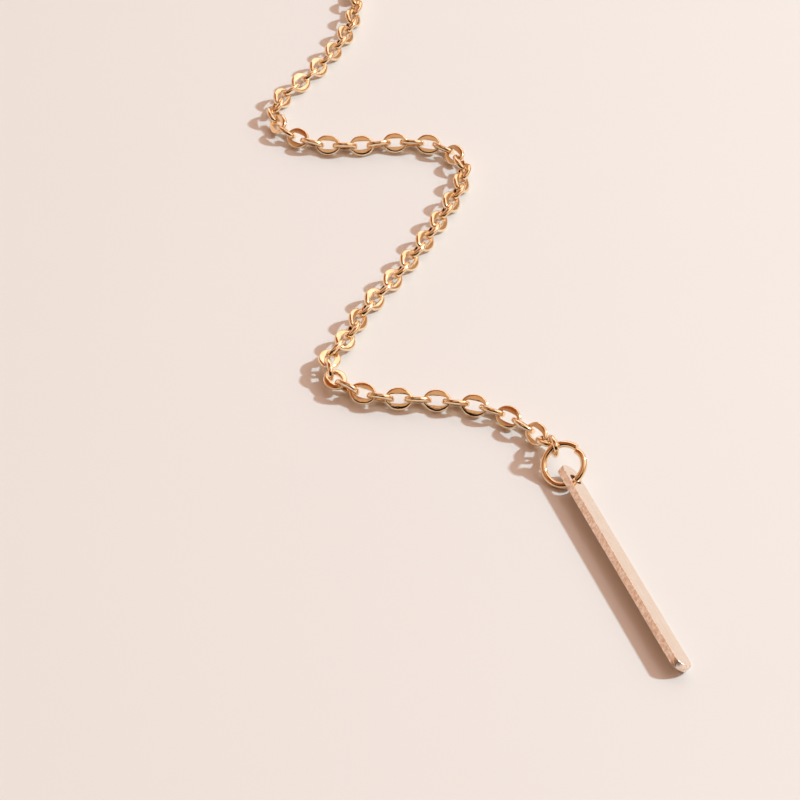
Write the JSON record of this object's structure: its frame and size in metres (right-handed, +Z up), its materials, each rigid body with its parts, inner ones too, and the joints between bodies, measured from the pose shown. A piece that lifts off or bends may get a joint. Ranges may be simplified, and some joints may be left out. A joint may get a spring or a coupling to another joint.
{
  "type": "bar necklace",
  "caption": "Gold-coloured necklace of flat oval links: a neck loop and a long hanging strand that ends in an open jump ring and a slim flat bar, laid out on a surface.",
  "frame": {"origin": "on the surface that the necklace lies on, under the middle of its bounding box", "axes": "+X to the right as the picture shows it, +Y from the bar towards the clasp, +Z up from the surface"},
  "size_m": [0.1352, 0.2914, 0.0043],
  "materials": {
    "bar": "polished",
    "rings": "polished",
    "chain": "polished",
    "clasp": "polished"
  },
  "bodies": {
    "root": {"bar": "bar", "bar_ring": "rings", "drop_chain": "chain", "join_ring": "rings", "neck_chain_right": "chain", "neck_chain_left": "chain", "clasp": "clasp"}
  },
  "joints": []
}
